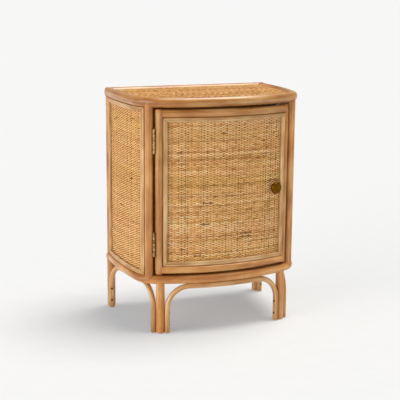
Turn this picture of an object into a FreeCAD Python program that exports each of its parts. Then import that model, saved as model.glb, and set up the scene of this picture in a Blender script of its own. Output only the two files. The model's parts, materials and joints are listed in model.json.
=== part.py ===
import FreeCAD, Part
import math
import os

# Bow-fronted bedside cabinet of bent rattan poles, with woven panels and one hinged door.
# Millimetres, +Z up, front towards -Y, origin on the floor under the middle of the cabinet.

Vector = FreeCAD.Vector
UP = Vector(0, 0, 1)

# Plan of the rings, along the axis of their poles
frame_depth = 290.0
front_bow_radius = 485.0
corner_radius = 56.0
side_bow_radius = 880.0
front_half_angle = 21.2
corner_end_angle = 81.2

# Heights of the frame
overall_height = 600.0
bottom_ring_height = 140.0

# Poles of the frame
top_pole_diameter = 25.0
bottom_pole_diameter = 22.0
post_diameter = 20.6
leg_diameter = 22.0
arch_diameter = 13.5
post_angle = 40.3
post_set_out = 2.4
leg_angle = 20.1
foot_chamfer = 2.5
rail_end_chamfer = 2.0

# Arches under the bottom ring
arch_bend_radius = 58.0
arch_floor_gap = 2.0
side_arch_set_out_share = 0.15
arch_screw_shares = (0.345, 0.85)
arch_screw_head_diameter = 5.0
arch_screw_head_height = 1.6
arch_screw_shank_diameter = 2.6
arch_screw_length = 24.0

# Door frame
door_gap = 5.0
door_rise_gap = 4.0
hinge_stile_diameter = 20.0
closing_stile_diameter = 13.5
rail_diameter = 20.0
rail_inset = 0.8
rail_lap_share = 0.35
stile_end_chamfer = 1.5

# Woven panels, boards and mouldings
weave_thickness = 3.4
warp_pitch = 8.2
warp_foot_width = 5.2
warp_crest_width = 2.0
warp_rise = 1.0
top_weave_drop = 4.0
board_thickness = 9.0
back_panel_thickness = 6.0
moulding_width = 11.0
moulding_thickness = 5.0
moulding_rounding = 1.8
moulding_groove = 1.2
mitre_gap = 0.6

# Butt hinges
hinge_length = 60.0
hinge_inset = 48.0
hinge_set_out = 7.0
hinge_leaf_thickness = 1.5
hinge_leaf_reach = 4.5
hinge_knuckle_diameter = 6.5
hinge_knuckle_count = 5
hinge_pin_diameter = 3.0
hinge_pin_clearance = 0.05
hinge_pin_head_diameter = 5.0
hinge_pin_head_height = 1.4
hinge_running_gap = 0.4
hinge_screw_spacing = 20.0
hinge_screw_head_diameter = 5.6
hinge_screw_shank_diameter = 3.0
hinge_screw_length = 14.0

# Knob
knob_angle = 16.0
knob_height_share = 0.494
knob_diameter = 31.0
knob_disc_thickness = 11.0
knob_edge_radius = 4.5
knob_neck_diameter = 12.0
knob_neck_length = 8.0
knob_screw_shank_diameter = 4.0
knob_screw_head_diameter = 8.0
knob_screw_head_height = 2.5
knob_screw_grip = 10.0
knob_washer_diameter = 14.0
knob_washer_thickness = 1.2

# Magnetic catch
catch_angle = 15.5
catch_length = 40.0
catch_depth = 13.0
catch_fall = 7.0
catch_air_gap = 0.6
catch_screw_spacing = 26.0
catch_screw_setback = 9.0
catch_screw_grip = 6.0
magnet_length = 18.0
magnet_depth = 8.0
magnet_width = 8.0
strike_length = 28.0
strike_width = 9.0
strike_thickness = 1.2
strike_seat_depth = 1.0
strike_screw_length = 9.0
small_screw_head_diameter = 4.6
small_screw_head_height = 1.5
small_screw_shank_diameter = 2.4

# Dowels inside the glued joints
dowel_diameter = 8.0
dowel_depth_in_pole = 14.0
dowel_depth_in_ring = 6.5
rail_dowel_depth_in_stile = 7.0

# Fits
glue_gap = 0.1
back_rail_gap = 0.15
screw_clearance = 0.05
overrun = 30.0

# Derived sizes
top_pole_radius = top_pole_diameter/2
bottom_pole_radius = bottom_pole_diameter/2
post_radius = post_diameter/2
leg_radius = leg_diameter/2
arch_radius = arch_diameter/2
hinge_stile_radius = hinge_stile_diameter/2
closing_stile_radius = closing_stile_diameter/2
rail_radius = rail_diameter/2
top_ring_height = overall_height - top_pole_radius
front_axis_y = -frame_depth/2
back_axis_y = frame_depth/2
door_low = bottom_ring_height + bottom_pole_radius + door_rise_gap
door_high = top_ring_height - top_pole_radius - door_rise_gap
low_rail_height = door_low + rail_inset + rail_radius
high_rail_height = door_high - rail_inset - rail_radius
knob_height = door_low + knob_height_share*(door_high - door_low)
panel_low = bottom_ring_height + bottom_pole_radius + glue_gap
panel_high = top_ring_height - top_pole_radius - glue_gap
weave_face = weave_thickness/2
weave_high = overall_height - top_weave_drop
weave_low = weave_high - weave_thickness
board_low = weave_low - board_thickness
arch_height = bottom_ring_height - bottom_pole_radius - arch_radius - glue_gap
arch_spring = arch_height - arch_bend_radius


rear_angle = 180.0


# Plan geometry. A turn is the angle, in degrees, between the front and the way the plan faces there.


def bearing(turn):
    """Outward direction of the plan at a turn."""
    angle = math.radians(turn)
    return Vector(math.sin(angle), -math.cos(angle), 0)


def tangent(turn):
    """Direction along the plan, from left to right, at a turn."""
    return bearing(turn + 90)


front_centre = Vector(0, front_axis_y + front_bow_radius, 0)
corner_centre = front_centre + bearing(front_half_angle)*(front_bow_radius - corner_radius)
side_centre = corner_centre + bearing(corner_end_angle)*(corner_radius - side_bow_radius)


def plan_arc(turn):
    """Centre and radius of the arc of the plan that holds a turn."""
    size = abs(turn)
    if size <= front_half_angle:
        return front_centre, front_bow_radius
    if size <= corner_end_angle:
        centre, radius = corner_centre, corner_radius
    else:
        centre, radius = side_centre, side_bow_radius
    return Vector(math.copysign(1, turn)*centre.x, centre.y, 0), radius


def plan_point(turn, outward=0, height=0):
    """Point at a turn, moved outward from the axis of the ring, at a height."""
    centre, radius = plan_arc(turn)
    return centre + bearing(turn)*(radius + outward) + UP*height


def turn_at_depth(depth, outward=0):
    """Turn at which the side of the plan, moved outward, reaches a depth along Y."""
    return math.degrees(math.acos((side_centre.y - depth)/(side_bow_radius + outward)))


def turn_after(turn, distance):
    """Turn that lies a distance further along the plan, towards the right."""
    for first, last in arc_spans(turn, rear_angle):
        radius = plan_arc((first + last)/2)[1]
        reach = math.radians(last - first)*radius
        if reach >= distance:
            return first + math.degrees(distance/radius)
        distance -= reach


def plan_length(start, end):
    """Length of the plan between two turns."""
    spans = arc_spans(start, end)
    return sum(math.radians(last - first)*plan_arc((first + last)/2)[1] for first, last in spans)


def arc_spans(start, end):
    """The turns from start to end, split where one arc of the plan meets the next."""
    breaks = (-corner_end_angle, -front_half_angle, front_half_angle, corner_end_angle)
    stops = [start] + [stop for stop in breaks if start < stop < end] + [end]
    return list(zip(stops, stops[1:]))


def plan_edges(start, end, outward, height):
    """Arcs of the plan, moved outward, from one turn to another."""
    edges = []
    for first, last in arc_spans(start, end):
        centre, radius = plan_arc((first + last)/2)
        stops = (first, (first + last)/2, last)
        points = [centre + bearing(stop)*(radius + outward) + UP*height for stop in stops]
        edges.append(Part.Arc(*points).toShape())
    return edges


def line(start, end):
    return Part.LineSegment(start, end).toShape()


back_turn = turn_at_depth(back_axis_y)
back_corner = plan_point(back_turn)
post_place = plan_point(post_angle, post_set_out)
leg_place = plan_point(leg_angle)


# Solids that many pieces share


def join(pieces):
    """One solid from pieces that meet end to end."""
    return pieces[0].multiFuse(pieces[1:]).removeSplitter().Solids[0]


def turned_arc(section, centre, first, last):
    """A section carried round an upright axis from one turn to another."""
    return section.revolve(centre, UP, last - first)


def disc(centre, direction, radius):
    return Part.Face(Part.Wire(Part.Circle(centre, direction, radius).toShape()))


def bent_pole(start, end, height, radius):
    """Round pole bent along the plan between two turns."""
    pieces = []
    for first, last in arc_spans(start, end):
        centre, bend = plan_arc((first + last)/2)
        section = disc(centre + bearing(first)*bend + UP*height, tangent(first), radius)
        pieces.append(turned_arc(section, centre, first, last))
    return join(pieces) if len(pieces) > 1 else pieces[0]


def upright(place, low, high, radius):
    """Round upright pole at a place in the plan."""
    return Part.makeCylinder(radius, high - low, Vector(place.x, place.y, low))


def rod(start, end, radius):
    """Round rod from one point to another."""
    return Part.makeCylinder(radius, (end - start).Length, start, end - start)


def rib_profile(length):
    """Outline of a woven face along a length: a rib at each warp, as distances and depths below the crests."""
    count = int(length/warp_pitch)
    outline = [(0, warp_rise)]
    for index in range(count):
        middle = length/2 + (index - (count - 1)/2)*warp_pitch
        outline += [(middle - warp_foot_width/2, warp_rise), (middle - warp_crest_width/2, 0),
                    (middle + warp_crest_width/2, 0), (middle + warp_foot_width/2, warp_rise)]
    return outline + [(length, warp_rise)]


def woven_sheet(start, end, low, high):
    """Upright woven sheet that follows the plan between two turns, ribbed on both faces."""
    profile = rib_profile(plan_length(start, end))
    turns = [turn_after(start, distance) for distance, depth in profile]
    outer = [plan_point(turn, weave_face - depth, low) for turn, (distance, depth) in zip(turns, profile)]
    inner = [plan_point(turn, depth - weave_face, low) for turn, (distance, depth) in zip(turns, profile)]
    outline = Part.makePolygon(outer + inner[::-1] + outer[:1])
    return Part.Face(outline).extrude(UP*(high - low))


def plan_plate(inset, low, high):
    """Flat plate that fills the plan, kept an inset away from the axes of the ring and the back rail."""
    end = turn_at_depth(back_axis_y - inset, -inset)
    edges = plan_edges(-end, end, -inset, low)
    left = plan_point(-end, -inset, low)
    right = plan_point(end, -inset, low)
    outline = Part.Wire(Part.__sortEdges__(edges + [line(right, left)]))
    return Part.Face(outline).extrude(UP*(high - low))


def ribbed_plate(inset, low, high):
    """Plate that fills the plan, with ribs from front to back on its upper face."""
    plate = plan_plate(inset, low, high)
    box = plate.BoundBox
    tops = [Vector(box.XMin + distance, box.YMin, high - depth) for distance, depth in rib_profile(box.XLength)]
    bottoms = [Vector(box.XMax, box.YMin, low), Vector(box.XMin, box.YMin, low)]
    slab = Part.Face(Part.makePolygon(tops + bottoms + tops[:1])).extrude(Vector(0, box.YLength, 0))
    return slab.common(plate).Solids[0]


def mirrored(shape):
    """The same piece on the other side of the middle plane."""
    return shape.mirror(Vector(0, 0, 0), Vector(1, 0, 0))


def screw(tip_direction, seat, head_diameter, head_height, shank_diameter, length, play=0):
    """Screw whose head's outer face lies at the seat and whose shank runs towards the tip."""
    head = Part.makeCylinder(head_diameter/2 + play, head_height, seat, tip_direction)
    shank = Part.makeCylinder(shank_diameter/2 + play, length, seat, tip_direction)
    return head.fuse(shank).removeSplitter().Solids[0]


def cut_all(shape, tools):
    """The main solid of a shape, less every tool that reaches it."""
    for tool in tools:
        if shape.BoundBox.intersect(tool.BoundBox):
            shape = shape.cut(tool)
    return max(shape.Solids, key=lambda solid: solid.Volume)


# Tools that shape the joints: each pole grown by the glue gap


def top_ring_pole(radius):
    return bent_pole(-back_turn, back_turn, top_ring_height, radius)


def bottom_ring_pole(radius):
    return bent_pole(-back_turn, back_turn, bottom_ring_height, radius)


def back_rail_pole(height, radius, half_length):
    return rod(Vector(-half_length, back_axis_y, height), Vector(half_length, back_axis_y, height), radius)


top_ring_tool = top_ring_pole(top_pole_radius + glue_gap)
bottom_ring_tool = bottom_ring_pole(bottom_pole_radius + glue_gap)
rail_tool_reach = back_corner.x + overrun
top_rail_tool = back_rail_pole(top_ring_height, top_pole_radius + back_rail_gap, rail_tool_reach)
bottom_rail_tool = back_rail_pole(bottom_ring_height, bottom_pole_radius + back_rail_gap, rail_tool_reach)


# Dowels: a pair of lengths about the joint, drawn as cylinders and bored with a little play


def post_dowel(place, play=0):
    """Dowels at the foot and the head of a post."""
    radius = dowel_diameter/2 + play
    low = bottom_ring_height + bottom_pole_radius
    high = top_ring_height - top_pole_radius
    foot = upright(place, low - dowel_depth_in_ring - play, low + dowel_depth_in_pole + play, radius)
    head = upright(place, high - dowel_depth_in_pole - play, high + dowel_depth_in_ring + play, radius)
    return [foot, head]


def leg_dowel(place, play=0):
    """Dowel at the head of a leg."""
    radius = dowel_diameter/2 + play
    seat = bottom_ring_height - bottom_pole_radius
    return [upright(place, seat - dowel_depth_in_pole - play, seat + dowel_depth_in_ring + play, radius)]


def ring_dowel(height, pole_radius, play=0):
    """Dowel from the right end of a ring into the back rail."""
    radius = dowel_diameter/2 + play
    seat = back_corner + UP*height - tangent(back_turn)*pole_radius
    start = seat - tangent(back_turn)*(dowel_depth_in_pole + play)
    end = seat + tangent(back_turn)*(dowel_depth_in_ring + play)
    return [rod(start, end, radius)]


right_places = (post_place, back_corner)
right_leg_places = (leg_place, back_corner)


def both_sides(shapes):
    return list(shapes) + [mirrored(shape) for shape in shapes]


def all_post_dowels(play=0):
    return both_sides([solid for place in right_places for solid in post_dowel(place, play)])


def all_leg_dowels(play=0):
    return both_sides([solid for place in right_leg_places for solid in leg_dowel(place, play)])


def all_ring_dowels(play=0):
    top = ring_dowel(top_ring_height, top_pole_radius, play)
    return both_sides(top + ring_dowel(bottom_ring_height, bottom_pole_radius, play))


frame_bores = all_post_dowels(glue_gap) + all_leg_dowels(glue_gap) + all_ring_dowels(glue_gap)


# Arches


def arch_path_front():
    """Turn where the front arch's bend begins, and the place of its right upright."""
    reach = math.hypot(front_bow_radius, arch_bend_radius)
    spacing = leg_radius + arch_radius + glue_gap
    spread = (front_bow_radius**2 + reach**2 - spacing**2)/(2*front_bow_radius*reach)
    upright_turn = leg_angle - math.degrees(math.acos(spread))
    bend_turn = upright_turn - math.degrees(math.atan2(arch_bend_radius, front_bow_radius))
    return bend_turn, plan_point(bend_turn) + tangent(bend_turn)*arch_bend_radius


def arch_corner(place, towards, height):
    """Upright end and bend of an arch that leaves a place in a level direction."""
    spring = height - arch_bend_radius
    foot = Vector(place.x, place.y, arch_floor_gap)
    post = rod(foot, Vector(place.x, place.y, spring), arch_radius)
    section = disc(Vector(place.x, place.y, spring), UP, arch_radius)
    centre = Vector(place.x, place.y, spring) + towards*arch_bend_radius
    bend = section.revolve(centre, UP.cross(towards), 90)
    return [post, bend]


def front_arch_solid():
    """Arch between the front legs, bowed with the ring that it carries."""
    bend_turn, right_place = arch_path_front()
    right = arch_corner(right_place, -tangent(bend_turn), arch_height)
    run = bent_pole(-bend_turn, bend_turn, arch_height, arch_radius)
    return join([run] + both_sides(right))


def side_arch_places():
    """Places of the right side arch's uprights, beside the front leg and the back leg."""
    spacing = leg_radius + arch_radius + glue_gap
    front_way = plan_point(turn_after(leg_angle, spacing)) - leg_place
    back_way = bearing(back_turn)*side_arch_set_out_share - tangent(back_turn)
    return leg_place + front_way.normalize()*spacing, back_corner + back_way.normalize()*spacing


def side_arch_solid():
    """Arch in one upright plane between the right front leg and the right back leg."""
    front, back = side_arch_places()
    along = (back - front).normalize()
    run_end = back - along*arch_bend_radius
    aside = side_bow_radius - (run_end - side_centre).Length
    spacing = bottom_pole_radius + arch_radius + glue_gap
    height = bottom_ring_height - math.sqrt(spacing**2 - aside**2)
    pieces = arch_corner(front, along, height) + arch_corner(back, -along, height)
    run_start = front + along*arch_bend_radius
    run = rod(run_start + UP*height, run_end + UP*height, arch_radius)
    return join(pieces + [run])


def arch_end_screws(arch_place, leg, play=0):
    """Two screws through an arch's upright into the leg beside it."""
    direction = (leg - arch_place).normalize()
    solids = []
    for share in arch_screw_shares:
        seat = Vector(arch_place.x, arch_place.y, share*arch_spring) - direction*arch_radius
        solids.append(screw(direction, seat, arch_screw_head_diameter, arch_screw_head_height,
                            arch_screw_shank_diameter, arch_screw_length, play))
    return solids


def all_arch_screws(play=0):
    front_place = arch_path_front()[1]
    side_front, side_back = side_arch_places()
    solids = arch_end_screws(front_place, leg_place, play)
    solids += arch_end_screws(side_front, leg_place, play)
    solids += arch_end_screws(side_back, back_corner, play)
    return both_sides(solids)


arch_bores = all_arch_screws(screw_clearance)


# Door places


def stile_place_turn(stile_radius):
    """Turn of a stile of the door, a door gap away from its post."""
    spacing = post_radius + stile_radius + door_gap
    to_post = post_place - front_centre
    post_bearing = math.degrees(math.atan2(to_post.x, -to_post.y))
    reach = to_post.Length
    spread = (reach**2 + front_bow_radius**2 - spacing**2)/(2*reach*front_bow_radius)
    return post_bearing - math.degrees(math.acos(spread))


# The stile that closes against the catch is a slimmer pole than the one that carries the hinges
hinge_stile_turn = -stile_place_turn(hinge_stile_radius)
closing_stile_turn = stile_place_turn(closing_stile_radius)
hinge_stile_place = plan_point(hinge_stile_turn)
closing_stile_place = plan_point(closing_stile_turn)
stiles = ((hinge_stile_turn, hinge_stile_place, hinge_stile_radius),
          (closing_stile_turn, closing_stile_place, closing_stile_radius))
stile_tools = [upright(place, 0, overall_height, radius + glue_gap) for turn, place, radius in stiles]
left_post_place = Vector(-post_place.x, post_place.y, 0)


def inside_stiles(share):
    """Turns just inside the axes of the two stiles, by a share of each one's radius."""
    turns = []
    for turn, place, radius in stiles:
        turns.append(turn - math.copysign(math.degrees(share*radius/front_bow_radius), turn))
    return turns


# Hinges. In a hinge's own frame the post lies towards -X, the stile towards +X and the room towards -Y.


hinge_across = (hinge_stile_place - left_post_place).normalize()
hinge_middle = left_post_place + hinge_across*(post_radius + door_gap/2)
hinge_angle = math.degrees(math.atan2(hinge_across.y, hinge_across.x))
hinge_outward = hinge_across.cross(UP)
hinge_end_to_middle = hinge_inset + hinge_length/2
hinge_heights = {"upper": door_high - hinge_end_to_middle, "lower": door_low + hinge_end_to_middle}
knuckle_radius = hinge_knuckle_diameter/2
pin_axis = Vector(0, -hinge_set_out, 0)


def at_hinge(shape, height):
    """A shape drawn in a hinge's own frame, set in its place on the cabinet."""
    placed = shape.copy()
    placed.rotate(Vector(0, 0, 0), UP, hinge_angle)
    placed.translate(Vector(hinge_middle.x, hinge_middle.y, height))
    return placed


def hinge_leaf(side):
    """Leaf towards -X (side -1) with the odd knuckles, or towards +X (side 1) with the even ones."""
    low = -hinge_length/2
    step = hinge_length/hinge_knuckle_count
    plate = Part.makeBox(hinge_leaf_thickness, hinge_set_out + hinge_leaf_reach, hinge_length,
                         Vector(-knuckle_radius, -hinge_set_out, low))
    plate = plate if side < 0 else mirrored(plate)
    knuckles = []
    windows = []
    for index in range(hinge_knuckle_count):
        bottom = pin_axis + UP*(low + index*step)
        if (index % 2 == 0) == (side < 0):
            knuckles.append(Part.makeCylinder(knuckle_radius, step, bottom))
        else:
            windows.append(Part.makeCylinder(knuckle_radius + hinge_running_gap, step + 2*hinge_running_gap,
                                             bottom - UP*hinge_running_gap))
    bore = Part.makeCylinder(hinge_pin_diameter/2 + hinge_pin_clearance, hinge_length + 2*overrun,
                             pin_axis + UP*(low - overrun))
    return cut_all(plate.multiFuse(knuckles), windows + [bore] + hinge_screws(side, screw_clearance))


def hinge_screws(side, play=0):
    """Countersunk screws that hold one leaf."""
    solids = []
    direction = Vector(side, 0, 0)
    for index in (-1, 0, 1):
        seat = Vector(side*(knuckle_radius - hinge_leaf_thickness), 0, index*hinge_screw_spacing)
        head = Part.makeCone(hinge_screw_head_diameter/2 + play, hinge_screw_shank_diameter/2 + play,
                             hinge_leaf_thickness, seat, direction)
        shank = Part.makeCylinder(hinge_screw_shank_diameter/2 + play, hinge_screw_length, seat, direction)
        solids.append(head.fuse(shank).removeSplitter().Solids[0])
    return solids


def hinge_pin():
    """Pin with a low head at each end of the knuckles."""
    low = -hinge_length/2
    stem = Part.makeCylinder(hinge_pin_diameter/2, hinge_length, pin_axis + UP*low)
    head = Part.makeCylinder(hinge_pin_head_diameter/2, hinge_pin_head_height, pin_axis - UP*low)
    foot = Part.makeCylinder(hinge_pin_head_diameter/2, hinge_pin_head_height,
                             pin_axis + UP*(low - hinge_pin_head_height))
    return stem.multiFuse([head, foot]).removeSplitter().Solids[0]


def hinge_seat(side):
    """Flat cut into the pole behind one leaf, with the bores of its screws."""
    height = hinge_length + 2*glue_gap
    flat = Part.makeBox(overrun, 2*overrun, height, Vector(-knuckle_radius, -overrun, -height/2))
    flat = flat if side < 0 else mirrored(flat)
    return [flat] + hinge_screws(side, screw_clearance)


def hinge_tools(side):
    return [at_hinge(tool, height) for height in hinge_heights.values() for tool in hinge_seat(side)]


def all_hinge_screws(side):
    return [at_hinge(solid, height) for height in hinge_heights.values() for solid in hinge_screws(side)]


# Catch. In its own frame the top rail's axis is the origin, +X runs along the door and +Y into the cabinet.


strike_seat = rail_radius - strike_seat_depth
strike_face = strike_seat + strike_thickness
catch_face = strike_face + catch_air_gap
catch_rise = board_low - glue_gap - high_rail_height


def at_catch(shape):
    """A shape drawn in the catch's own frame, set in its place behind the top rail."""
    placed = shape.copy()
    placed.rotate(Vector(0, 0, 0), UP, catch_angle)
    placed.translate(plan_point(catch_angle, 0, high_rail_height))
    return placed


def catch_screws(play=0):
    """Screws through the catch's block up into the board of the top."""
    solids = []
    length = catch_fall + catch_rise + glue_gap + catch_screw_grip
    for index in (-1, 1):
        seat = Vector(index*catch_screw_spacing/2, catch_face + catch_screw_setback, -catch_fall)
        solids.append(screw(UP, seat, small_screw_head_diameter, small_screw_head_height,
                            small_screw_shank_diameter, length, play))
    return [at_catch(solid) for solid in solids]


def magnet_solid(play=0):
    """Magnet let into the front of the catch's block."""
    block = Part.makeBox(magnet_length + 2*play, magnet_depth + play, magnet_width + 2*play,
                         Vector(-magnet_length/2 - play, catch_face, -magnet_width/2 - play))
    return at_catch(block)


def catch_block_solid():
    """Block of the catch, hung from the board of the top and coped to the ring in front of it."""
    block = Part.makeBox(catch_length, catch_depth, catch_fall + catch_rise,
                         Vector(-catch_length/2, catch_face, -catch_fall))
    return cut_all(at_catch(block), [top_ring_tool, magnet_solid(glue_gap)] + catch_screws(screw_clearance))


def strike_screw(play=0):
    """Screw that holds the strike to the rail."""
    return at_catch(screw(Vector(0, -1, 0), Vector(0, strike_face, 0), small_screw_head_diameter,
                          strike_thickness/2, small_screw_shank_diameter, strike_screw_length, play))


def strike_solid():
    """Steel strike on the back of the top rail."""
    plate = Part.makeBox(strike_length, strike_thickness, strike_width,
                         Vector(-strike_length/2, strike_seat, -strike_width/2))
    return cut_all(at_catch(plate), [strike_screw(screw_clearance)])


def strike_seat_tool():
    """Flat for the strike, with the bore of its screw."""
    length = strike_length + 2*glue_gap
    flat = Part.makeBox(length, overrun, 2*overrun, Vector(-length/2, strike_seat, -overrun))
    return [at_catch(flat), strike_screw(screw_clearance)]



# Mouldings


def moulding_section(origin, across, outward):
    """Section of a moulding: flat behind, with two reeds whose edges are eased by two flats each."""
    def eased(side, crown):
        """Outline between the flank at one distance and the crown of the reed at another."""
        drop = abs(crown - side)
        bow = drop*(1 - math.sqrt(0.5))
        middle = side + math.copysign(bow, crown - side)
        return [(side, moulding_thickness - drop),
                (middle, moulding_thickness - bow),
                (crown, moulding_thickness)]

    reed = moulding_width/2
    near = eased(0, moulding_rounding) + eased(reed, reed - moulding_groove)[::-1]
    far = eased(reed, reed + moulding_groove)[1:]
    far += eased(moulding_width, moulding_width - moulding_rounding)[::-1]
    outline = [(0, 0)] + near + far + [(moulding_width, 0), (0, 0)]
    corners = [origin + across*distance + outward*proud for distance, proud in outline]
    return Part.Face(Part.makePolygon(corners))


def level_moulding(start, end, low):
    """Moulding along the plan between two turns, with its lower edge at a height."""
    pieces = []
    for first, last in arc_spans(start, end):
        centre, radius = plan_arc((first + last)/2)
        origin = centre + bearing(first)*(radius + weave_face + glue_gap) + UP*low
        pieces.append(turned_arc(moulding_section(origin, UP, bearing(first)), centre, first, last))
    return join(pieces) if len(pieces) > 1 else pieces[0]


def upright_moulding(turn, low, high):
    """Straight moulding that stands on the panel, centred on a turn."""
    origin = plan_point(turn, weave_face + glue_gap, low) - tangent(turn)*(moulding_width/2)
    return moulding_section(origin, tangent(turn), bearing(turn)).extrude(UP*(high - low))


def mitre_tool(corner, across, rise, outward, side):
    """Block on one side (1 above, -1 below) of the mitre through an outer corner of the mouldings."""
    reach = moulding_width + overrun
    normal = (across + rise).normalize()*side
    diagonal = outward.cross(normal)
    block = Part.makeBox(2*reach, 2*reach, reach, Vector(-reach, -reach, 0))
    turn = FreeCAD.Rotation(diagonal, outward, normal, "ZYX")
    block.Placement = FreeCAD.Placement(corner - normal*(mitre_gap/2), turn)
    return block


def half_width_on(turn, way):
    """Turn half a moulding's width further along (way 1) or back (way -1)."""
    if way > 0:
        return turn_after(turn, moulding_width/2)
    return -turn_after(-turn, moulding_width/2)


def moulding_frame(start, end, low, high):
    """Four mouldings round a panel, between two turns and two heights, mitred to length."""
    first_turn = half_width_on(start, 1)
    last_turn = half_width_on(end, -1)
    long_start = half_width_on(start, -1)
    long_end = half_width_on(end, 1)
    strips = {"first": upright_moulding(first_turn, low, high),
              "last": upright_moulding(last_turn, low, high),
              "bottom": level_moulding(long_start, long_end, low),
              "top": level_moulding(long_start, long_end, high - moulding_width)}
    for name, turn, way in (("first", first_turn, 1), ("last", last_turn, -1)):
        across = tangent(turn)*way
        outer = plan_point(turn, weave_face) - across*(moulding_width/2)
        for level, height, rise in (("bottom", low, -UP), ("top", high, UP)):
            corner = outer + UP*height
            strips[name] = cut_all(strips[name], [mitre_tool(corner, across, rise, bearing(turn), 1)])
            strips[level] = cut_all(strips[level], [mitre_tool(corner, across, rise, bearing(turn), -1)])
    return strips


# Frame of the cabinet


def rings_and_back_rails():
    """Bent rings, coped at the back to the straight rails that close them."""
    half_length = back_corner.x + bottom_pole_radius
    rings = {"top_ring": cut_all(top_ring_pole(top_pole_radius), [top_rail_tool] + frame_bores),
             "bottom_ring": cut_all(bottom_ring_pole(bottom_pole_radius), [bottom_rail_tool] + frame_bores)}
    for name, height, radius in (("top_back_rail", top_ring_height, top_pole_radius),
                                 ("bottom_back_rail", bottom_ring_height, bottom_pole_radius)):
        length = 2*half_length - 2*rail_end_chamfer
        body = rod(Vector(-length/2, back_axis_y, height), Vector(length/2, back_axis_y, height), radius)
        end = Part.makeCone(radius, radius - rail_end_chamfer, rail_end_chamfer,
                            Vector(length/2, back_axis_y, height), Vector(1, 0, 0))
        rings[name] = cut_all(join([body, end, mirrored(end)]), frame_bores)
    return rings


def posts():
    """Four posts coped between the rings and the back rails."""
    tools = [top_ring_tool, bottom_ring_tool, top_rail_tool, bottom_rail_tool] + frame_bores
    front = cut_all(upright(post_place, bottom_ring_height, top_ring_height, post_radius), tools)
    back = cut_all(upright(back_corner, bottom_ring_height, top_ring_height, post_radius), tools)
    return {"left_front_post": cut_all(mirrored(front), hinge_tools(-1)),
            "right_front_post": front,
            "left_back_post": mirrored(back),
            "right_back_post": back}


def leg(place):
    """Leg coped under the bottom ring, with a chamfered foot."""
    foot = Part.makeCone(leg_radius - foot_chamfer, leg_radius, foot_chamfer, Vector(place.x, place.y, 0))
    pole = join([foot, upright(place, foot_chamfer, bottom_ring_height, leg_radius)])
    return cut_all(pole, [bottom_ring_tool, bottom_rail_tool] + frame_bores + arch_bores)


def legs_and_arches():
    front = leg(leg_place)
    back = leg(back_corner)
    side = cut_all(side_arch_solid(), arch_bores)
    return {"left_front_leg": mirrored(front), "right_front_leg": front,
            "left_back_leg": mirrored(back), "right_back_leg": back,
            "front_arch": cut_all(front_arch_solid(), arch_bores),
            "left_arch": mirrored(side), "right_arch": side}


def boards():
    """Boards of the top and the bottom, the woven top and the back panel."""
    above_axis = weave_low - top_ring_height
    weave_inset = math.sqrt(top_pole_radius**2 - above_axis**2) + glue_gap
    bottom_low = bottom_ring_height - board_thickness/2
    bottom_high = bottom_low + board_thickness
    half_width = back_corner.x - post_radius - glue_gap
    back = Part.makeBox(2*half_width, back_panel_thickness, panel_high - panel_low,
                        Vector(-half_width, back_axis_y - back_panel_thickness/2, panel_low))
    top = plan_plate(top_pole_radius + glue_gap, board_low, weave_low)
    return {"top_board": cut_all(top, catch_screws(screw_clearance)),
            "top_weave": ribbed_plate(weave_inset, weave_low, weave_high),
            "bottom_board": plan_plate(bottom_pole_radius + glue_gap, bottom_low, bottom_high),
            "back_panel": back}


def sides():
    """Woven sides between the front and back posts, framed by mouldings."""
    post_tools = [upright(place, 0, overall_height, post_radius + glue_gap) for place in right_places]
    panel = cut_all(woven_sheet(post_angle, back_turn, panel_low, panel_high), post_tools)
    start = turn_after(post_angle, post_radius + glue_gap)
    end = back_turn - math.degrees((post_radius + glue_gap)/side_bow_radius)
    strips = moulding_frame(start, end, panel_low, panel_high)
    pieces = {"side_weave": panel,
              "side_front_moulding": strips["first"],
              "side_back_moulding": strips["last"],
              "side_bottom_moulding": strips["bottom"],
              "side_top_moulding": strips["top"]}
    nodes = {}
    for name, shape in pieces.items():
        nodes["right_" + name] = shape
        nodes["left_" + name] = mirrored(shape)
    return nodes


# Door


def rail_dowel_pair(height, play=0):
    """Dowels between the ends of one rail and the stiles."""
    solids = []
    for turn, place, radius in stiles:
        inward = tangent(turn)*math.copysign(1, -turn)
        seat = place + UP*height + inward*radius
        start = seat + inward*(dowel_depth_in_pole + play)
        end = seat - inward*(rail_dowel_depth_in_stile + play)
        solids.append(rod(start, end, dowel_diameter/2 + play))
    return solids


def all_rail_dowels(play=0):
    return rail_dowel_pair(low_rail_height, play) + rail_dowel_pair(high_rail_height, play)


def stile(place, radius):
    """Stile with chamfered ends."""
    low = door_low + stile_end_chamfer
    high = door_high - stile_end_chamfer
    small = radius - stile_end_chamfer
    foot = Part.makeCone(small, radius, stile_end_chamfer, place + UP*door_low)
    head = Part.makeCone(radius, small, stile_end_chamfer, place + UP*high)
    return join([foot, upright(place, low, high, radius), head])


def rail(height):
    """Bent rail whose ends lap a little way round the stiles."""
    first, last = inside_stiles(1 - rail_lap_share)
    return cut_all(bent_pole(first, last, height, rail_radius), stile_tools + all_rail_dowels(glue_gap))


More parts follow.
